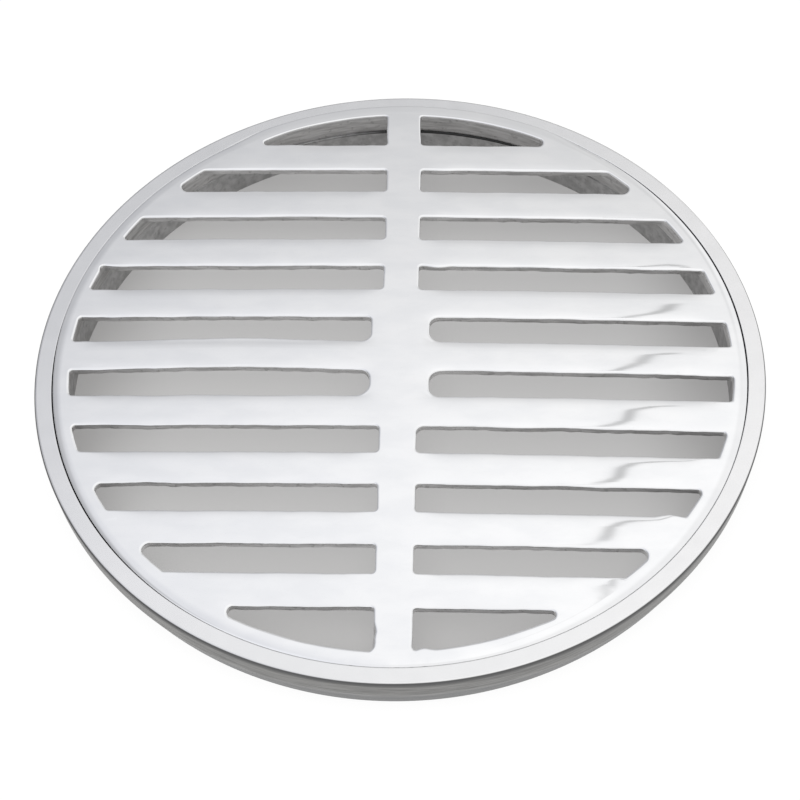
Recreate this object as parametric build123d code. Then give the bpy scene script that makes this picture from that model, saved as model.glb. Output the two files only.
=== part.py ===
"""Round floor drain for a shower: a cast frame with a seat, and a crowned, slotted grate that rests in it.

The origin is the centre of the frame's underside, with +Z up. The slots run along X and the spine along Y.
"""
import os
from math import radians, sqrt, tan

from build123d import *

# Frame, in millimetres
frame_dia = 200.0           # across the top edge
frame_height = 16.0
band_height = 6.6           # upper part of the outer wall, nearly straight
band_draft = 5.0            # degrees off plumb
foot_width = 4.4            # flat underside, from the bore to the outer wall
top_width = 4.8             # flat top, from the outer edge to the pocket
pocket_depth = 6.1          # from the flat top down to the seat
seat_width = 3.5            # turned ledge that carries the grate
frame_edge = 0.6            # broken outer edge of the flat top

# Grate
grate_clearance = 0.4       # all round, between the grate and the pocket
grate_stand = 0.6           # how far the rim's top edge stands above the frame
rim_width = 3.7             # between a slot's end and the grate's outer edge
rim_gusset = 0.7            # extra thickness of the rim where a bar runs into it
rim_edge = 0.9              # broken top edge of the rim
crown_rise = 1.55           # height of the centre above the rim
plate_thickness = 2.0
bar_width = 9.8
slot_width = 8.7
spine_width = 9.8
spine_lean = 0.6            # degrees off square to the bars, as cast
pad_width = 16.1            # the spine's wider middle, beside the two middle rows
pad_corner = 2.8            # rounding of the slot corners at the pad
outer_tip = 1.2             # rounding of the pointed slot corners at the rim
corner_break = 0.6          # the other slot corners, broken straight across
least_segment = 6.0         # shortest useful height of the last slot, under the rim's arc

# Worked out from the sizes above
frame_r = frame_dia / 2
pocket_r = frame_r - top_width
bore_r = pocket_r - seat_width
seat_z = frame_height - pocket_depth
rim_z = frame_height + grate_stand
crown_z = rim_z + crown_rise
grate_r = pocket_r - grate_clearance
slot_circle_r = grate_r - rim_width
pitch = bar_width + slot_width
rows_per_side = int((slot_circle_r - bar_width / 2 - least_segment) / pitch) + 1
overrun = plate_thickness   # how far a slot's cutter runs below the rim


def corner_of(face, point):
    """The face's corner nearest to a point of its plan."""
    return face.vertices().sort_by_distance((point[0], point[1], 0))[0]


def frame_ring():
    """The frame, turned from its section: foot, drawn-in wall, band, flat top, pocket, seat and bore."""
    band_z = frame_height - band_height
    band_r = frame_r - band_height * tan(radians(band_draft))
    foot_inner, foot_outer = (bore_r, 0), (bore_r + foot_width, 0)
    shoulder, top_outer = (band_r, band_z), (frame_r, frame_height)
    top_inner, pocket_foot, seat_inner = (pocket_r, frame_height), (pocket_r, seat_z), (bore_r, seat_z)
    section = Polyline(foot_inner, foot_outer, shoulder, top_outer, top_inner, pocket_foot, seat_inner,
                       close=True)
    face = make_face(section)
    face = chamfer(corner_of(face, top_outer), frame_edge)
    return revolve(Plane.XZ * face, Axis.Z)


def crown_radius():
    """Radius of the sphere that rises by crown_rise over the grate's radius."""
    return (grate_r ** 2 + crown_rise ** 2) / (2 * crown_rise)


def grate_blank():
    """The grate before its slots: a crowned plate with a deeper rim, turned from its section."""
    rim_inner_r = slot_circle_r - rim_gusset

    def on_crown(r, below=0.0):
        """Point of the section at radius r, on the crowned top or on the sphere that lies below it."""
        return (r, crown_z - crown_radius() + sqrt((crown_radius() - below) ** 2 - r ** 2))

    top = ThreePointArc(on_crown(0), on_crown(grate_r / 2), on_crown(grate_r))
    under = ThreePointArc(*(on_crown(r, plate_thickness) for r in (rim_inner_r, rim_inner_r / 2, 0)))
    rim = Polyline(top @ 1, (grate_r, seat_z), (rim_inner_r, seat_z), under @ 0)
    face = make_face([top, rim, under, Line(under @ 1, top @ 0)])
    face = chamfer(corner_of(face, (grate_r, rim_z)), rim_edge)
    return revolve(Plane.XZ * face, Axis.Z)


def slot_outline(row, along_x, along_y):
    """Plan of one slot. Rows count outwards from the middle bar, and along_x and along_y are +1 or -1."""
    half_web = (pad_width if row == 0 else spine_width) / 2
    is_last = row == rows_per_side - 1
    low_y = along_y * (bar_width / 2 + row * pitch)
    high_y = along_y * slot_circle_r if is_last else low_y + along_y * slot_width

    def web_point(y):
        return (along_x * half_web - y * tan(radians(spine_lean)), y)

    def rim_point(y):
        return (along_x * sqrt(slot_circle_r ** 2 - y ** 2), y)

    far_x = along_x * slot_circle_r
    row_band = Polyline(web_point(low_y), (far_x, low_y), (far_x, high_y), web_point(high_y), close=True)
    outline = make_face(row_band) & Circle(slot_circle_r)
    outline = fillet(corner_of(outline, rim_point(low_y)), outer_tip)
    for y in (low_y, high_y):
        web_corner = corner_of(outline, web_point(y))
        outline = fillet(web_corner, pad_corner) if row == 0 else chamfer(web_corner, corner_break)
    if not is_last:
        outline = chamfer(corner_of(outline, rim_point(high_y)), corner_break)
    return outline


def slot_cutter(row, along_x, along_y):
    """One slot as a block, from the top of the crown to below the rim."""
    outline = Pos(0, 0, crown_z) * slot_outline(row, along_x, along_y)
    return extrude(outline, amount=crown_z - seat_z + overrun, dir=(0, 0, -1))


def grate():
    """The grate: its blank, less the slots."""
    cutters = [slot_cutter(row, along_x, along_y)
               for row in range(rows_per_side) for along_x in (1, -1) for along_y in (1, -1)]
    return grate_blank() - cutters


os.makedirs("parts", exist_ok=True)
for make_piece in (frame_ring, grate):
    piece = make_piece()
    piece.label = make_piece.__name__
    export_step(piece, f"parts/{piece.label}.step")
    print(f"{piece.label}: {piece.volume / 1000:.1f} cm3")
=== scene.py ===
# %% [markdown]
# # A round shower drain in cast aluminium
# The drain is two castings. A frame ring is bedded in the floor, and a slotted grate rests on a ledge inside it and
# lifts out for cleaning. The measured model already holds both, so this lesson makes their visible skins: the same
# forms, with the buffed edges, the hand-filed slots and the finishes that the real castings show.

# %% Load the measured model
from math import atan2, cos, hypot, pi, radians, sin, sqrt, tan

import bmesh
import bpy
from mathutils import Matrix, Vector, noise


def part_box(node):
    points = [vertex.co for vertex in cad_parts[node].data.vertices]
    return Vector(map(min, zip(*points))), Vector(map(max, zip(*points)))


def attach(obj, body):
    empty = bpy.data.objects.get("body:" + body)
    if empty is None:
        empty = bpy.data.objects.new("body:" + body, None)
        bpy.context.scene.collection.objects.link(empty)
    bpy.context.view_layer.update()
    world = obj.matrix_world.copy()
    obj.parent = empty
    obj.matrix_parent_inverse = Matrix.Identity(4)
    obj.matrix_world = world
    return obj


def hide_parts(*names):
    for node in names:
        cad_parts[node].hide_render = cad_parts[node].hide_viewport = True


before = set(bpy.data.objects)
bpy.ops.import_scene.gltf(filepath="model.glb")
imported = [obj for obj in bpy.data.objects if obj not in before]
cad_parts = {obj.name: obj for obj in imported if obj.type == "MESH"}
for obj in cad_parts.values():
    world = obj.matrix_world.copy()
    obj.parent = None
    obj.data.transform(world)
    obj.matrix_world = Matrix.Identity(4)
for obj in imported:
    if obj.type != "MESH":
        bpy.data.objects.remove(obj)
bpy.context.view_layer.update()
MM = 0.001
grate_low, grate_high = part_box("grate")
ring_low, ring_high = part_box("frame_ring")
print("grate", [round(v / MM, 2) for v in (*grate_low, *grate_high)])
print("frame ring", [round(v / MM, 2) for v in (*ring_low, *ring_high)])

# %% [markdown]
# ## Working by hand, in code
# An operator acts on whatever is selected, and the loaded model arrives selected, so each piece starts from nothing
# selected. Small helpers do what a hand does with the mouse: one puts everything down, one picks the vertices, edges
# or faces of the piece in edit mode by where they are, and one shades a finished piece.

# %% Helpers for selecting and shading
TINY = 1e-6                        # a thousandth of a millimetre: points nearer than this count as one
SHARP = radians(38)                # faces that meet at more than this keep a hard edge between them


def put_down():
    """Back to object mode with nothing selected."""
    if bpy.context.mode != "OBJECT":
        bpy.ops.object.mode_set(mode="OBJECT")
    bpy.ops.object.select_all(action="DESELECT")


def pick(piece, kind, wanted):
    """Selects only the verts, edges or faces that pass the test, and says how many there are."""
    bpy.ops.mesh.select_mode(type={"verts": "VERT", "edges": "EDGE", "faces": "FACE"}[kind])
    bpy.ops.mesh.select_all(action="DESELECT")
    mesh = bmesh.from_edit_mesh(piece.data)
    found = [element for element in getattr(mesh, kind) if wanted(element)]
    for element in found:
        element.select_set(True)
    mesh.select_flush_mode()
    bmesh.update_edit_mesh(piece.data)
    return len(found)


def shade(piece):
    """Leaves edit mode and shades the piece smooth, but for its sharp edges."""
    put_down()
    piece.select_set(True)
    bpy.context.view_layer.objects.active = piece
    bpy.ops.object.shade_smooth_by_angle(angle=SHARP)


put_down()
print("nothing selected:", len(bpy.context.selected_objects) == 0)

# %% [markdown]
# ## The slots
# Each slot of the real grate was cast and then filed and buffed. In plan it is a piece of a disc: one straight side
# along each bar, one along the spine, and the rim's arc at its outer end. A disc cut down by straight cuts gives
# exactly that, and a fan of cuts that touch a small circle files a corner round. The outline drawn here is the upper,
# wider one, where the buffed lip begins.

# %% Sizes of the slots and the filing cuts
LIP = 0.5 * MM                     # radius of the buffed edge round each slot
FLAT = 0.25 * MM                   # narrow flat band outside the lip, which keeps its shading to itself
EDGE = LIP + FLAT
BAR, SLOT = 10.1 * MM, 8.4 * MM    # between the slots' upright walls
PITCH, ROWS = BAR + SLOT, 5
LEAN = tan(radians(0.6))           # the spine isn't quite square to the bars
SPINE_EDGE = {1: 5.15 * MM, -1: 4.85 * MM}     # from the middle to the spine's right and left edges
PAD_EDGE = {1: 8.4 * MM, -1: 7.9 * MM}         # the same at the wider pad
GRATE_R = grate_high.x
RIM = 3.7 * MM                     # from the slots' outer ends to the grate's edge
END_R = GRATE_R - RIM

# Roundings and trims are in millimetres. A quarter of the grate is (along_x, along_y), with 1 for right or back and
# -1 for left or front. A slot is (row, along_x, along_y).
CORNER = 1.0                       # rounding of most corners
TIPS = (0.8, 0.9, 1.0, 2.0, 1.2)   # rounding of the pointed corners at the rim, row by row from the middle
OTHER_TIPS = {(2, -1, -1): 1.7, (4, -1, -1): 1.5, (4, -1, 1): 1.0, (4, 1, 1): 1.5}     # tips filed otherwise
SPINE_CORNERS = {(0, -1, 1): (2.8, 1.2), (0, -1, -1): (2.6, 3.6), (0, 1, 1): (3.2, 2.6), (0, 1, -1): (3.2, 2.8),
                 (1, 1, -1): (2.2, 1.4)}       # where a slot's two corners at the spine are rounder
NO_TRIM = (0, 0, 0, 0, 0)
TRIMS = {(-1, -1): (0.7, 0.6, 0.8, 0.7, -0.12), (1, 1): (0.2, 0.4, 0.7, 0.4, 0.2),
         (-1, 1): (0.3, 0, 0, 0, 0)}           # how much shorter the rows of a quarter are at the rim
DISC_POINTS = 480
# Cuts for the sides, each with the shortest and the longest side that it is for.
SIDE_CUTS = ((1, 2, 4), (3, 4, 9), (9, 9, 14), (35, 14, 70), (70, 70, 99))


def cut(point, outward):
    """One straight cut across the piece. What lies on the outward side falls off."""
    bpy.ops.mesh.select_all(action="SELECT")
    bpy.ops.mesh.bisect(plane_co=(point[0], point[1], 0), plane_no=(outward[0], outward[1], 0),
                        clear_outer=True, threshold=1e-7)


def file_corner(centre, radius, first, last, cuts=7):
    """Files a corner round with cuts that touch a circle, from the direction of one side to that of the other."""
    start, end = atan2(first[1], first[0]), atan2(last[1], last[0])
    turn = (end - start + pi) % (2 * pi) - pi
    for step in range(1, cuts + 1):
        angle = start + turn * step / (cuts + 1)
        outward = (cos(angle), sin(angle))
        cut((centre[0] + radius * outward[0], centre[1] + radius * outward[1]), outward)


print("slot pitch", round(PITCH / MM, 2), "mm, slot ends on radius", round(END_R / MM, 2), "mm")

# %% One slot


def make_slot(row, along_x, along_y):
    """One slot's upper outline as a flat face. Rows count outwards from the middle bar."""
    put_down()
    outer = END_R + EDGE - TRIMS.get((along_x, along_y), NO_TRIM)[row] * MM
    bpy.ops.mesh.primitive_circle_add(vertices=DISC_POINTS, radius=outer, fill_type="NGON")
    slot = bpy.context.object
    bpy.ops.object.mode_set(mode="EDIT")
    last = row == ROWS - 1
    low = BAR / 2 + row * PITCH - EDGE
    high = low + SLOT + 2 * EDGE
    web = (PAD_EDGE if row == 0 else SPINE_EDGE)[along_x] - EDGE
    to_low, to_high, to_web = (0, -along_y), (0, along_y), (-along_x, -along_x * LEAN)
    cut((0, along_y * low), to_low)
    if not last:
        cut((0, along_y * high), to_high)
    cut((along_x * web, 0), to_web)

    def beside_web(y, radius):
        """Centre of a rounding that touches the spine's edge."""
        return (along_x * (web + radius) - y * LEAN, y)

    def inside_rim(y, radius):
        """Centre of a rounding that touches the rim's arc."""
        return (along_x * sqrt((outer - radius) ** 2 - y ** 2), y)

    near_r, far_r = (r * MM + EDGE for r in SPINE_CORNERS.get((row, along_x, along_y), (CORNER, CORNER)))
    tip = OTHER_TIPS.get((row, along_x, along_y), TIPS[row]) * MM + EDGE
    blunt = CORNER * MM + EDGE
    file_corner(beside_web(along_y * (low + near_r), near_r), near_r, to_low, to_web)
    tip_centre = inside_rim(along_y * (low + tip), tip)
    file_corner(tip_centre, tip, to_low, tip_centre)
    if last:
        x = beside_web(along_y * outer, far_r)[0]
        top_centre = beside_web(along_y * sqrt((outer - far_r) ** 2 - x ** 2), far_r)
        file_corner(top_centre, far_r, to_web, top_centre)
    else:
        file_corner(beside_web(along_y * (high - far_r), far_r), far_r, to_high, to_web)
        blunt_centre = inside_rim(along_y * (high - blunt), blunt)
        file_corner(blunt_centre, blunt, to_high, blunt_centre)
    for cuts, shortest, longest in SIDE_CUTS:
        if pick(slot, "edges", lambda edge: shortest * MM <= edge.calc_length() < longest * MM):
            bpy.ops.mesh.subdivide(number_cuts=cuts)
    put_down()
    return slot


slots = [make_slot(row, along_x, along_y) for row in range(ROWS) for along_x in (1, -1) for along_y in (1, -1)]
print(len(slots), "slots, the first with", len(slots[0].data.vertices), "corner points")

# %% [markdown]
# ## The grate's top face
# The slots are joined, a circle is drawn for the rim, and the space between is filled. A polished face must bend
# smoothly, and a filled face is made of long thin triangles, so the face is cut into a grid along the bars and
# across them, and the fill's slanting edges are dissolved.

# %% Join the slots and fill between them
RIM_WIDE, RIM_HIGH = 2.2 * MM, 0.9 * MM        # the buffed edge of the rim, wider than it is high
put_down()
for slot in slots:
    slot.select_set(True)
bpy.context.view_layer.objects.active = slots[0]
bpy.ops.object.join()
grate = bpy.context.object
grate.name = grate.data.name = "grate_casting"
bpy.ops.object.mode_set(mode="EDIT")
for face in bmesh.from_edit_mesh(grate.data).faces:
    face.material_index = 1                    # marks the slots until they are opened
bpy.ops.mesh.primitive_circle_add(vertices=360, radius=GRATE_R - RIM_WIDE - FLAT, fill_type="NOTHING")
pick(grate, "edges", lambda edge: len(edge.link_faces) < 2)
bpy.ops.mesh.fill(use_beauty=False)
print("faces after the fill:", len(bmesh.from_edit_mesh(grate.data).faces))

# %% Cut the grid and dissolve the slanting edges
ACROSS_BAR, ACROSS_SLOT = (-3.3, -2.5, -1.4, 0, 1.4, 2.5, 3.3), (-2.6, 0, 2.6)      # millimetres from their middles
bar_lines = [k * PITCH + offset * MM for k in range(-4, 5) for offset in ACROSS_BAR]
slot_lines = [(k + 0.5) * PITCH + offset * MM for k in range(-5, 5) for offset in ACROSS_SLOT]
cross_lines = [side * x * MM for side in (-1, 1) for x in (2, *range(6, 94, 3))]
for y in bar_lines + slot_lines:
    bpy.ops.mesh.select_all(action="SELECT")
    bpy.ops.mesh.bisect(plane_co=(0, y, 0), plane_no=(0, 1, 0), threshold=TINY)
for x in cross_lines:
    bpy.ops.mesh.select_all(action="SELECT")
    bpy.ops.mesh.bisect(plane_co=(x, 0, 0), plane_no=(1, 0, 0), threshold=TINY)


def slants(edge):
    """True for an edge of the fill: inside the top face, along neither grid direction."""
    step = edge.verts[1].co - edge.verts[0].co
    inside = len(edge.link_faces) == 2 and all(face.material_index == 0 for face in edge.link_faces)
    return inside and abs(step.x) > 2 * TINY and abs(step.y) > 2 * TINY


slanting = pick(grate, "edges", slants)
bpy.ops.mesh.dissolve_edges(use_verts=False)
spare = pick(grate, "verts", lambda v: len(v.link_edges) == 2 and not v.is_boundary
             and all(face.material_index == 0 for face in v.link_faces))
bpy.ops.mesh.dissolve_verts()
print(slanting, "slanting edges and", spare, "spare points dissolved")

# %% [markdown]
# ## Buffed lips, bars and rim
# Buffing rounds every edge of the grate over. An inset that also moves down draws one step of such a round, so four
# steps follow a quarter circle, and the slot is then pushed through to the underside. The rim is drawn in the same
# way from the outer edge: rounded over, down to the ledge, in, and up the inside.

# %% Round the lips and open the slots
PLATE = 2.0 * MM
pick(grate, "faces", lambda face: face.material_index == 1)
bpy.ops.mesh.dissolve_faces()
bpy.ops.mesh.select_all(action="SELECT")
bpy.ops.mesh.remove_doubles(threshold=0.12 * MM)
pick(grate, "faces", lambda face: face.material_index == 1)
bpy.ops.mesh.inset(thickness=FLAT, depth=0, use_even_offset=True, use_individual=True)
steps = [radians(22.5 * k) for k in range(5)]
for before, after in zip(steps, steps[1:]):
    bpy.ops.mesh.inset(thickness=LIP * (sin(after) - sin(before)), depth=LIP * (cos(after) - cos(before)),
                       use_even_offset=True, use_individual=True)
bpy.ops.mesh.extrude_region_move(TRANSFORM_OT_translate={"value": (0, 0, LIP - PLATE)})
bpy.ops.mesh.delete(type="ONLY_FACE")
slot_edges = pick(grate, "edges", lambda e: e.is_boundary and e.verts[0].co.z < -PLATE / 2)
print("edges round the open slots:", slot_edges)

# %% Draw the rim
HOOP_R = END_R + 0.2 * MM                      # the rim's inside, below the plate
RIM_Z = ring_high.z + 0.6 * MM                 # the rim's top edge stands above the ring
FOOT_IN, FOOT_UP = 0.4 * MM, 1.5 * MM          # the rim's inner foot is eased off, where it stands on the ledge
rim_drop = RIM_Z - grate_low.z


def draw_rim(radius, z, last_radius, last_z):
    """Extrudes the selected rim edge to the next radius and level."""
    bpy.ops.mesh.extrude_region_move(TRANSFORM_OT_translate={"value": (0, 0, z - last_z)})
    bpy.ops.transform.resize(value=(radius / last_radius, radius / last_radius, 1), center_override=(0, 0, 0))


pick(grate, "edges", lambda e: e.is_boundary and e.verts[0].co.z > -LIP)
quarter_turn = [radians(11.25 * k) for k in range(1, 9)]
profile = [(GRATE_R - RIM_WIDE - FLAT, 0), (GRATE_R - RIM_WIDE, 0)]
profile += [(GRATE_R - RIM_WIDE * (1 - sin(a)), RIM_HIGH * (cos(a) - 1)) for a in quarter_turn]
profile += [(GRATE_R, -rim_drop), (HOOP_R + FOOT_IN, -rim_drop), (HOOP_R, FOOT_UP - rim_drop), (HOOP_R, -PLATE)]
for here, there in zip(profile, profile[1:]):
    draw_rim(*there, *here)
pick(grate, "edges", lambda e: e.is_boundary)
bpy.ops.mesh.fill(use_beauty=True)
bpy.ops.mesh.select_all(action="SELECT")
bpy.ops.mesh.remove_doubles(threshold=2 * TINY)
bpy.ops.mesh.normals_make_consistent(inside=False)
print("open edges left:", pick(grate, "edges", lambda e: not e.is_manifold))

# %% [markdown]
# ## Crown, camber and the hand-finished wobble
# The grate is crowned, so that water runs off it, and each bar is a little convex across, because the buffing wheel
# takes more off its edges. Both bend the flat plate, so they are given to the points by a rule. The filed bars are
# not dead straight either: the left half of the middle bar bows towards the back, and a few edges carry nicks. Nor
# is the grate quite round. At the back its rim and the ring's pocket lie further out, and the rim comes close to the
# ring there and at the front. The noise behind the wobble has a fixed seed, so every run files the same grate.

# %% Bow the bars


def push(place, move, reach):
    """Pushes the metal at a place of the plan, with less and less effect along it out to the reach."""
    mesh = bmesh.from_edit_mesh(grate.data)
    start = min(mesh.verts, key=lambda v: (v.co.x - place[0] * MM) ** 2 + (v.co.y - place[1] * MM) ** 2)
    chosen = start.co.copy()
    pick(grate, "verts", lambda v: hypot(v.co.x - chosen.x, v.co.y - chosen.y) < TINY)
    bpy.ops.transform.translate(value=(move[0] * MM, move[1] * MM, 0), use_proportional_edit=True,
                                use_proportional_connected=True, proportional_edit_falloff="SMOOTH",
                                proportional_size=reach * MM)


# Each push has its place, its move and its reach, in millimetres.
BOW = ((-44, 0), (0, 1.0), 44)
NICKS = (((-58, 70.2), (0.1, 0.7), 3), ((-85, 32), (-0.6, 0.5), 2.5), ((-91, -8), (-0.7, 0.2), 2),
         ((10, 32.4), (0, -0.5), 4), ((71, -51), (0, 0.6), 4), ((9, -90.7), (0, 0.5), 3),
         ((-3.6, -85.5), (0.6, 0), 3), ((-3.6, -89.5), (0.4, 0.2), 2.5))
for place, move, reach in (BOW, *NICKS):
    push(place, move, reach)
bowed = [v.co.y for v in bmesh.from_edit_mesh(grate.data).verts
         if abs(v.co.x / MM + 42) < 6 and abs(v.co.y) < 7 * MM]
print("middle bar bowed, highest point of its edge at y", round(max(bowed) / MM, 2))

# %% Crown and camber
CROWN = grate_high.z - RIM_Z
CROWN_R = (GRATE_R ** 2 + CROWN ** 2) / (2 * CROWN)
CAMBER = 0.14 * MM
WAVE, CHATTER = 0.22, 0.09             # how far the file wanders over long and short stretches, in millimetres
FAR_SHIFT = Vector((-0.4, 0.5)) * MM   # at the back, the pocket and what lies in it are out of place by this much,
FAR_OUT = 0.4 * MM                     # and the pocket's and the rim's edges lie this much further out


def fade(value, start, end):
    """0 before start, 1 after end, and smooth between."""
    t = min(1, max(0, (value - start) / (end - start)))
    return t * t * (3 - 2 * t)


def camber(x, y):
    """How far the bar's surface falls away from its centre line."""
    across = (y / PITCH - round(y / PITCH)) * PITCH / (BAR / 2)
    along = fade(abs(x), 5 * MM, 13 * MM) * fade(-hypot(x, y), -90 * MM, -82 * MM)
    flatter = 1 - 0.2 * fade(y, 24 * MM, 38 * MM)             # the far bars were buffed flatter
    return CAMBER * min(1.3, across ** 4) * along * flatter


def wobble(place):
    """The file's unsteadiness: slow waves and short chatter in the plan, none at the turned rim."""
    slow = noise.noise_vector(Vector((place.x, place.y, 0)) / (11 * MM))
    short = noise.noise_vector(Vector((place.x, place.y, 7)) / (2.4 * MM))
    return (slow * WAVE * MM + short * CHATTER * MM) * fade(-hypot(place.x, place.y), -92.2 * MM, -90.5 * MM)


def at_back(y):
    """0 over most of the drain, and 1 at the back, where the castings aren't quite round."""
    return fade(y, 78 * MM, 86 * MM)


print("crown rises", round(CROWN / MM, 2), "mm, on a sphere of radius", round(CROWN_R / MM), "mm")

# %% Bend the plate
SLOTS_BACK = 0.5 * MM                  # the pattern of slots lies a little towards the back
SPREAD, TOUCH = 0.1 * MM, 0.28 * MM    # how far the rim's edge lies out all round, and how much more near the ring
BACK, FRONT, LEFT_REAR = (-0.34, 0.94), (0.33, -0.94), (-0.85, 0.53)       # directions in the plan
RAGGED = 0.35 * MM                     # unevenness of the slots' lower edges, as cast
WOBBLE_SEED = 12
noise.seed_set(WOBBLE_SEED)
mesh = bmesh.from_edit_mesh(grate.data)
for v in mesh.verts:
    moved = wobble(v.co)
    v.co.x, v.co.y = v.co.x + moved.x, v.co.y + moved.y
    r = hypot(v.co.x, v.co.y)
    v.co.y += SLOTS_BACK * fade(-r, 2.6 * MM - GRATE_R, 4.2 * MM - GRATE_R)
    toward = v.co.to_2d() / max(r, TINY)
    far, on_edge = at_back(v.co.y), fade(r, GRATE_R - RIM_WIDE, GRATE_R)
    outward = FAR_SHIFT * far + toward * FAR_OUT * far * on_edge
    if -RIM_HIGH - TINY < v.co.z < 0 and r > GRATE_R - RIM_WIDE:               # the rim is less round there
        v.co.z *= 1 - max(0.6 * far, 0.4 * fade(toward.dot(LEFT_REAR), 0.7, 0.95))
    close = max(fade(toward.dot(BACK), 0.2, 0.6), 0.8 * fade(toward.dot(FRONT), 0.26, 0.71))
    widen = 1 + (SPREAD + TOUCH * close) * on_edge / GRATE_R
    if abs(v.co.z + PLATE) < TINY:
        v.co.z += RAGGED * noise.noise(Vector((v.co.x, v.co.y, 3)) / (3 * MM))
    on_plate = fade(v.co.z, -rim_drop, -PLATE)
    crown = sqrt(CROWN_R ** 2 - r ** 2) - CROWN_R + CROWN
    fall = fade(v.co.z, -PLATE, 0) * camber(v.co.x, v.co.y)
    v.co.z += RIM_Z + on_plate * crown - fall
    v.co.x, v.co.y = v.co.x * widen + outward.x, v.co.y * widen + outward.y
for face in mesh.faces:
    face.material_index = 0
bmesh.update_edit_mesh(grate.data)
shade(grate)
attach(grate, "root")
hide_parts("grate")
triangles = sum(len(p.vertices) - 2 for p in grate.data.polygons)
print("grate:", len(grate.data.vertices), "points,", triangles, "triangles,",
      "height", round(max(v.co.z for v in grate.data.vertices) / MM, 2))

# %% [markdown]
# ## The frame ring
# The frame was turned on a lathe after casting, so its whole form is one section spun about the drain's axis. The
# section is drawn point by point with extrude, its corners are rounded with a vertex bevel, and spin turns it. Only
# the pocket is then drawn out at the back, to go with the grate's rim.

# %% Draw the section
SEAT_Z = grate_low.z
TOP_Z = ring_high.z
RING_R = 100.0 * MM
POCKET_R, BORE_R = GRATE_R + 0.4 * MM, GRATE_R - 3.1 * MM
FOOT_WIDE, BAND_HIGH, BAND_DRAFT = 4.4 * MM, 6.6 * MM, radians(5)
section = [(BORE_R, 0), (BORE_R + FOOT_WIDE, 0),                               # foot
           (RING_R - BAND_HIGH * tan(BAND_DRAFT), TOP_Z - BAND_HIGH),          # shoulder below the band
           (RING_R, TOP_Z), (RING_R - 0.85 * MM, TOP_Z),                       # outer edge of the flat top
           (POCKET_R + 0.35 * MM, TOP_Z), (POCKET_R, TOP_Z),                   # inner edge of the flat top
           (POCKET_R, SEAT_Z), (BORE_R, SEAT_Z)]                               # seat
rounding = [0.3, 0.6, 4.0, 0.7, 0, 0, 0.12, 0.2, 0.4]      # 0 where a point only keeps the flat top flat
put_down()
bpy.ops.mesh.primitive_plane_add(size=1 * MM, location=(0, 0, 0))
ring = bpy.context.object
ring.name = ring.data.name = "frame_casting"
bpy.ops.object.mode_set(mode="EDIT")
pick(ring, "verts", lambda v: v.co.x > 0 or v.co.y > 0)
bpy.ops.mesh.delete(type="VERT")
pick(ring, "verts", lambda v: True)
bpy.ops.transform.translate(value=(section[0][0] + 0.5 * MM, 0.5 * MM, section[0][1]))
for here, there in zip(section, section[1:]):
    bpy.ops.mesh.extrude_region_move(TRANSFORM_OT_translate={"value": (there[0] - here[0], 0, there[1] - here[1])})
pick(ring, "verts", lambda v: len(v.link_edges) == 1)
bpy.ops.mesh.edge_face_add()
print("section has", len(bmesh.from_edit_mesh(ring.data).verts), "corners")

# %% Round its corners and spin it
SPIN_STEPS = 288
for (r, z), (before, after), radius in zip(section, zip(section[-1:] + section, section[1:] + section[:1]), rounding):
    pick(ring, "verts", lambda v: hypot(v.co.x - r, v.co.z - z) < TINY)
    arms = Vector((before[0] - r, before[1] - z)), Vector((after[0] - r, after[1] - z))
    reach = radius * MM / tan(arms[0].angle(arms[1]) / 2)
    if radius:
        bpy.ops.mesh.bevel(offset=reach, segments=8 if radius > 1 else 4, profile=0.5, affect="VERTICES")
bpy.ops.mesh.select_all(action="SELECT")
bpy.ops.mesh.spin(steps=SPIN_STEPS, angle=2 * pi, center=(0, 0, 0), axis=(0, 0, 1))
bpy.ops.mesh.select_all(action="SELECT")
bpy.ops.mesh.remove_doubles(threshold=TINY)
bpy.ops.mesh.normals_make_consistent(inside=False)
print("open edges left:", pick(ring, "edges", lambda e: not e.is_manifold))

# %% Draw the pocket out at the back
mesh = bmesh.from_edit_mesh(ring.data)
for v in mesh.verts:
    r = hypot(v.co.x, v.co.y)
    if v.co.z > SEAT_Z - TINY and BORE_R + 1 * MM < r < POCKET_R + 0.5 * MM:
        outward = FAR_SHIFT * at_back(v.co.y) + v.co.to_2d().normalized() * FAR_OUT * at_back(v.co.y)
        v.co.x, v.co.y = v.co.x + outward.x, v.co.y + outward.y
bmesh.update_edit_mesh(ring.data)
shade(ring)
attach(ring, "root")
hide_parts("frame_ring")
print("ring:", len(ring.data.vertices), "points, widest radius",
      round(max(hypot(v.co.x, v.co.y) for v in ring.data.vertices) / MM, 3))

# %% [markdown]
# ## Finishes as sums
# A finish is a set of masks and patterns added and multiplied together. A small class wraps a node's output so that
# such sums can be written as ordinary Python, and one method makes every other kind of node.

# %% The wire class


class Wire:
    """A node's output that takes part in sums: each operator adds a Math node."""

    def __init__(self, socket):
        self.socket = socket

    @staticmethod
    def node(tree, kind, settings=(), inputs=(), output=0):
        """Adds a node, sets it up, then fills its sockets with values or wires."""
        made = tree.nodes.new(kind)
        for key, value in dict(settings).items():
            setattr(made, key, value)
        for key, value in dict(inputs).items():
            if isinstance(value, Wire):
                tree.links.new(value.socket, made.inputs[key])
            else:
                made.inputs[key].default_value = value
        return Wire(made.outputs[output])

    def math(self, operation, first, second=0.0):
        return Wire.node(self.socket.id_data, "ShaderNodeMath", {"operation": operation}, {0: first, 1: second})

    def __add__(self, other):
        return self.math("ADD", self, other)

    def __sub__(self, other):
        return self.math("SUBTRACT", self, other)

    def __rsub__(self, other):
        return self.math("SUBTRACT", other, self)

    def __mul__(self, other):
        return self.math("MULTIPLY", self, other)

    def __truediv__(self, other):
        return self.math("DIVIDE", self, other)

    def __pow__(self, other):
        return self.math("POWER", self, other)

    __radd__, __rmul__ = __add__, __mul__


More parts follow.
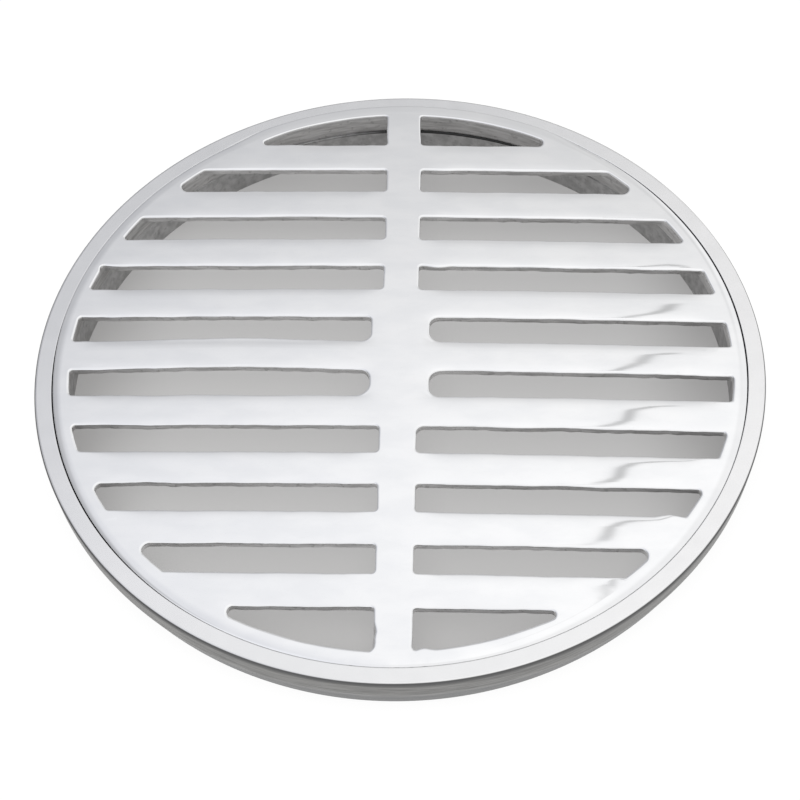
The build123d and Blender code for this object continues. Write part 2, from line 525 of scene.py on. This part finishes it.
def rise(value, start, end):
    """A mask that goes smoothly from 0 at start to 1 at end."""
    return Wire.node(value.socket.id_data, "ShaderNodeMapRange", {"interpolation_type": "SMOOTHSTEP"},
                     {"Value": value, "From Min": start, "From Max": end})


def tint(mask, first, second):
    """The first colour where the mask is 0, and the second where it is 1."""
    return Wire.node(mask.socket.id_data, "ShaderNodeMix", {"data_type": "RGBA"}, {0: mask, 6: first, 7: second}, 2)


def grain(tree, place, scale, detail=2.0, stretch=(1, 1, 1)):
    """Cloudy noise over the piece, drawn out along an axis where its stretch is small."""
    stretched = Wire.node(tree, "ShaderNodeMapping", (), {"Vector": place, "Scale": stretch})
    return Wire.node(tree, "ShaderNodeTexNoise", (), {"Vector": stretched, "Scale": scale, "Detail": detail})


def new_finish(name):
    """An empty material, its tree, and the place on the piece as a vector and as x, y and z."""
    finish = bpy.data.materials.new(name)
    finish.use_nodes = True
    tree = finish.node_tree
    place = Wire.node(tree, "ShaderNodeTexCoord", output="Object")
    split = [Wire.node(tree, "ShaderNodeSeparateXYZ", (), {0: place}, axis) for axis in "XYZ"]
    return finish, tree, place, split


def pitted(tree, place, colour):
    """The colour of a cast wall, with small dark pits in it."""
    pits = rise(grain(tree, place, 620.0, 2.0), 0.60, 0.68)
    return tint(0.25 * pits, colour, (0.13, 0.125, 0.12, 1))


def put_on(piece, finish, colour, roughness, relief):
    """Connects what varies over the metal, and gives the finish to the piece."""
    tree = finish.node_tree
    shader = tree.nodes["Principled BSDF"]
    bump = Wire.node(tree, "ShaderNodeBump", (), {"Height": relief, "Strength": 1.0, "Distance": 1.0}, "Normal")
    for socket, value in (("Base Color", colour), ("Roughness", roughness), ("Normal", bump)):
        tree.links.new(value.socket, shader.inputs[socket])
    shader.inputs["Metallic"].default_value = 1.0
    piece.data.materials.clear()
    piece.data.materials.append(finish)
    print(finish.name + ":", len(tree.nodes), "nodes")


print("the class covers", [name for name in vars(Wire) if name.startswith("__r")])

# %% [markdown]
# ## Polished grate
# The grate's top is buffed to a mirror that is still a little wavy, with cloudy haze left by the compound and fine
# lines left by the wheel. Below the lips the metal is as cast: grey, dull and grainy. The depth below the crowned
# surface tells the two apart.

# %% The grate's masks and patterns
finish, tree, place, (x, y, z) = new_finish("polished_casting")
r_squared = x * x + y * y
depth = (grate_high.z - z) - r_squared / (2 * CROWN_R)
turned_edge = rise(r_squared, (92.3 * MM) ** 2, (92.8 * MM) ** 2)
cast = rise(depth, 0.4 * MM, 0.7 * MM) * (1 - turned_edge)
hoop = rise(r_squared, (89.5 * MM) ** 2, (90.5 * MM) ** 2)     # the walls at the slots' outer ends
right_side, near_side = rise(x, 5 * MM, 40 * MM), rise(0 - y, 42 * MM, 60 * MM)
far_right = rise(x, -5 * MM, 10 * MM) * rise(y, 76 * MM, 86 * MM)
haze = grain(tree, place, 55.0, 3.0)
smears = rise(grain(tree, place, 170.0, 3.0, (0.45, 1, 1)), 0.3, 0.7)
wave = grain(tree, place, 38.0, 1.0)
lines = grain(tree, place, 900.0, 2.0, (0.05, 1, 1))
sand = grain(tree, place, 1400.0, 3.0)
scores = rise(grain(tree, place, 1100.0, 3.0, (0.12, 0.12, 1)), 0.3, 0.7)
print("masks and patterns:", len(tree.nodes), "nodes")

# %% The grate's finish
polished = tint(smears, (0.897, 0.901, 0.909, 1), (0.943, 0.944, 0.946, 1))
light_cast = tint(scores, (0.52, 0.515, 0.51, 1), (0.72, 0.715, 0.71, 1))
# Painted light and shade: the cast walls get a darker copy of their grey at the left slot ends, on the right side and
# at the back right, and a paler copy towards the front and at the right slot ends.
cast_painted_shade = tint(scores, (0.31, 0.305, 0.30, 1), (0.49, 0.485, 0.48, 1))
cast_painted_light = tint(scores, (0.66, 0.655, 0.65, 1), (0.84, 0.835, 0.83, 1))
left_ends, right_ends = 1 - rise(x, -80 * MM, -60 * MM), rise(x, 60 * MM, 80 * MM)
wall_painted_shade = hoop * (0.15 + 0.5 * left_ends) + 0.6 * (1 - hoop) * right_side * (1 - near_side)
wall_painted_light = near_side * (1 - hoop) + 0.6 * hoop * right_ends
cast_colour = tint(wall_painted_shade + (0.3 - wall_painted_shade) * far_right, tint(wall_painted_light, light_cast, cast_painted_light), cast_painted_shade)
colour = tint(cast, polished, pitted(tree, place, cast_colour))
roughness = (1 - cast) * (0.02 + 0.04 * haze) + cast * 0.55
relief = (1 - cast) * (wave * 0.04 * MM + lines * 0.0004 * MM) + cast * (sand * 0.05 * MM + scores * 0.04 * MM)
put_on(grate, finish, colour, roughness, relief)

# %% [markdown]
# ## Turned and ground frame ring
# The ring's flat top is only satin, and the upright wall of its pocket is turned as well. Painted light and shade
# make the top darker to the left and back and paler to the right. Its outer wall shows the long marks of the belt it
# was ground on, darker low down, with a band of painted shade just under the top edge. The seat and the bore were
# left as cast, and at the back painted shadow stands for the dark gap between the seat and the grate's rim.

# %% The ring's masks and patterns
finish, tree, place, (x, y, z) = new_finish("ground_casting")
radius = (x * x + y * y) ** 0.5
outer = rise(radius - z * 0.25, 94.5 * MM, 95.5 * MM)          # the outer wall leans out, and the pocket is upright
on_top = rise(z, TOP_Z - 0.2 * MM, TOP_Z - 0.04 * MM)
pocket = (1 - outer) * rise(z, SEAT_Z + 0.5 * MM, SEAT_Z + 1.5 * MM)
turned = on_top + pocket - on_top * pocket
outside = outer * (1 - on_top)
inside = (1 - turned) * (1 - outer)
# Painted shade: a dark band on the outer wall just under the top edge.
painted_shade_under_edge = outside * rise(z, TOP_Z - 2.2 * MM, TOP_Z - 1.0 * MM)
low_band = 1 - rise(z, 6.0 * MM, 10.0 * MM)
# Painted shadow: at the back the seat and the top of the bore are darkened where the grate's rim stands, more so to
# the right.
seat = rise(z, SEAT_Z - 0.65 * MM, SEAT_Z - 0.45 * MM) * (1 - rise(z, SEAT_Z + 0.2 * MM, SEAT_Z + 0.4 * MM))
painted_gap_shadow = seat * rise(y, 70 * MM, 77 * MM) * (0.25 + 0.75 * rise(x, -26 * MM, -2 * MM))
around = Wire.node(tree, "ShaderNodeMath", {"operation": "ARCTAN2"}, {0: y, 1: x})
ringed = Wire.node(tree, "ShaderNodeCombineXYZ", (), {"X": around * 0.02, "Y": radius, "Z": z})
streaks = rise(grain(tree, ringed, 1700.0, 4.0, (0.35, 1, 1)), 0.25, 0.75)
mottle = grain(tree, place, 160.0, 4.0)
sand = grain(tree, place, 1400.0, 3.0)
blotches = 0.6 * rise(grain(tree, place, 420.0, 3.0), 0.3, 0.7) + 0.4 * sand
print("masks and patterns:", len(tree.nodes), "nodes")

# %% The ring's finish
# Painted light and shade: the top is darker to the left and back and paler to the right, a little less pale at the
# front.
left_top_painted_shade = tint(mottle, (0.74, 0.742, 0.75, 1), (0.84, 0.84, 0.845, 1))
right_top_painted_light = tint(mottle, (0.85, 0.846, 0.846, 1), (0.955, 0.95, 0.95, 1))
near_top = tint(mottle, (0.80, 0.80, 0.795, 1), (0.89, 0.89, 0.885, 1))
other_top = tint(0.7 * rise(0 - y, 70 * MM, 98 * MM), right_top_painted_light, near_top)
top_painted_light_and_shade = tint(rise(x - y, -105 * MM, 65 * MM), left_top_painted_shade, other_top)
band_colour = tint(streaks, (0.17, 0.169, 0.166, 1), (0.29, 0.287, 0.28, 1))
foot_colour = tint(streaks, (0.08, 0.08, 0.082, 1), (0.16, 0.16, 0.163, 1))
wall_colour = tint(painted_shade_under_edge, tint(low_band, band_colour, foot_colour), (0.12, 0.12, 0.12, 1))
cast_colour = pitted(tree, place, tint(blotches, (0.36, 0.358, 0.357, 1), (0.60, 0.598, 0.596, 1)))
cast_colour = tint(painted_gap_shadow, cast_colour, (0.06, 0.06, 0.06, 1))
colour = tint(inside, tint(outside, top_painted_light_and_shade, wall_colour), cast_colour)
roughness = turned * (0.12 + 0.12 * mottle) + outside * 0.42 + inside * 0.5
relief = turned * (mottle * 0.006 * MM) + outside * (streaks * 0.05 * MM) + inside * (sand * 0.03 * MM)
put_on(ring, finish, colour, roughness, relief)

# %% [markdown]
# ## Floor, surroundings and light
# The drain stands on a plain pale floor. Outside the drain the floor is lifted to white for the camera and for
# reflections, so that the background is white and still carries the drain's soft shadow. Inside the ring it is mostly
# a grey glow, painted shade that is darker towards the walls, which keep the light out. The surroundings are a soft
# studio: brighter overhead and to the right, cooler to the left rear. One thin dark strip slants down through them
# behind the drain, and the right-hand bars mirror it as dark streaks.

# %% Floor
put_down()
bpy.ops.mesh.primitive_plane_add(size=6.0, location=(0, 0, -0.02 * MM))
floor = bpy.context.object
floor.name = floor.data.name = "studio_floor"
paper = bpy.data.materials.new("pale_floor")
paper.use_nodes = True
tree = paper.node_tree
shader = tree.nodes["Principled BSDF"]
place = Wire.node(tree, "ShaderNodeTexCoord", output="Object")
x, y = (Wire.node(tree, "ShaderNodeSeparateXYZ", (), {0: place}, axis) for axis in "XY")
outdoors = rise((x * x + y * y) ** 0.5, 91.8 * MM, 96.2 * MM)    # from the bore to the foot's outer edge
ends = rise(x * x, (60 * MM) ** 2, (90 * MM) ** 2)
far, near = rise(y, 52 * MM, 72 * MM), rise(0 - y, 40 * MM, 90 * MM)
seen = [Wire.node(tree, "ShaderNodeLightPath", output=name) for name in
        ("Is Camera Ray", "Is Glossy Ray", "Is Transmission Ray")]
lifted = Wire.node(tree, "ShaderNodeMath", {"operation": "MINIMUM"}, {0: seen[0] + seen[1] + seen[2], 1: 1.0})
shader.inputs["Base Color"].default_value = (0.86, 0.845, 0.835, 1)
shader.inputs["Roughness"].default_value = 0.9
# Painted shade: inside the ring the floor glows grey for the camera and in reflections, darker towards the slot ends,
# the back and the front.
floor_painted_shade = tint(ends + 0.6 * far + 0.6 * near, (0.505, 0.503, 0.501, 1), (0.34, 0.337, 0.335, 1))
shine = tint(outdoors, floor_painted_shade, (1.04, 1.04, 1.04, 1))
glow = Wire.node(tree, "ShaderNodeEmission", (), {"Color": shine, "Strength": 1.0})
bare = Wire(shader.outputs[0])
mixed = Wire.node(tree, "ShaderNodeMixShader", (), {0: lifted * (0.72 + 0.16 * outdoors), 1: bare, 2: glow})
tree.links.new(mixed.socket, tree.nodes["Material Output"].inputs["Surface"])
floor.data.materials.append(paper)
print("floor", [round(v, 2) for v in floor.dimensions])

# %% Surroundings
world = bpy.data.worlds.new("soft_studio")
bpy.context.scene.world = world
world.use_nodes = True
tree = world.node_tree
direction = Wire.node(tree, "ShaderNodeTexCoord", output="Generated")
x, y, z = (Wire.node(tree, "ShaderNodeSeparateXYZ", (), {0: direction}, axis) for axis in "XYZ")
side = rise(x, -0.4, 0.15)
sideways = 0.85 + 0.21 * side + 0.05 * rise(x, 0.1, 0.17) * (1 - rise(z, 0.8, 0.86))
level = (0.5 + 0.16 * rise(z, 0.1, 0.55) + 0.34 * rise(z, 0.62, 0.88)) * sideways
front, right = rise(0 - y, 0.15, 0.6), rise(x, 0.2, 0.45)
open_side = front + right - front * right
level = level + open_side * (0.95 - level)
STRIP_X, STRIP_Z = 0.1076, 0.814               # a direction on the dark strip, which bends lower down
further = Wire.node(tree, "ShaderNodeMath", {"operation": "MAXIMUM"}, {0: 0.8 - z, 1: 0.0})
strip_at = x - STRIP_X + (z - STRIP_Z) * 0.26 - further * 0.27
strip = rise(strip_at, -0.007, -0.003) * (1 - rise(strip_at, -0.001, 0.005))
strip = strip * rise(y, 0.2, 0.4) * rise(z, 0.75, 0.763)
level = level * (1 - (0.46 - 0.3 * rise(z, 0.862, 0.885)) * strip)
hue = tint(side, (0.955, 0.966, 1.01, 1), (0.993, 0.994, 1.0, 1))
camera = Wire.node(tree, "ShaderNodeLightPath", output="Is Camera Ray")
seen = camera + (1 - camera) * level
background = tree.nodes["Background"]
tree.links.new(tint(camera, hue, (1, 1, 1, 1)).socket, background.inputs["Color"])
tree.links.new(seen.socket, background.inputs["Strength"])
print("surroundings:", len(tree.nodes), "nodes")

# %% Lamp
put_down()
bpy.ops.object.light_add(type="AREA", location=(-0.1, -0.55, 1.35))
lamp = bpy.context.object
lamp.name = "soft_lamp"
lamp.data.shape = "DISK"
lamp.data.size = 1.2
lamp.data.energy = 10.5
lamp.rotation_euler = (Vector((0, 0, 0)) - lamp.location).to_track_quat("-Z", "Y").to_euler()
lamp.visible_glossy = False
print("lamp", lamp.data.energy, "W")

# %% [markdown]
# ## Camera
# The photograph looks down at about 54 degrees with a long lens, and the camera is rolled by a little over two
# degrees. Its place and direction were found by fitting the ring's ellipse and the slot rows.

# %% Camera
camera_place = Vector((21.68, -347.88, 475.79)) * MM
forward = Vector((-0.03686, 0.5881, -0.8079))
level_right, level_up = Vector((0.99804, 0.06254, 0)), Vector((-0.05053, 0.8063, 0.5893))
roll = -0.04082
cam_right = cos(roll) * level_right + sin(roll) * level_up
cam_up = cos(roll) * level_up - sin(roll) * level_right
camera_data = bpy.data.cameras.new("photo_camera")
camera_object = bpy.data.objects.new("photo_camera", camera_data)
bpy.context.scene.collection.objects.link(camera_object)
turn = Matrix((cam_right, cam_up, -forward)).transposed()
camera_object.matrix_world = Matrix.Translation(camera_place) @ turn.to_4x4()
camera_data.sensor_width, camera_data.lens = 36.0, 94.65
camera_data.clip_start = 0.01
camera_data.dof.use_dof = False
bpy.context.scene.camera = camera_object
bpy.context.scene.view_settings.view_transform = "Standard"
print("camera at", [round(v, 3) for v in camera_object.location])
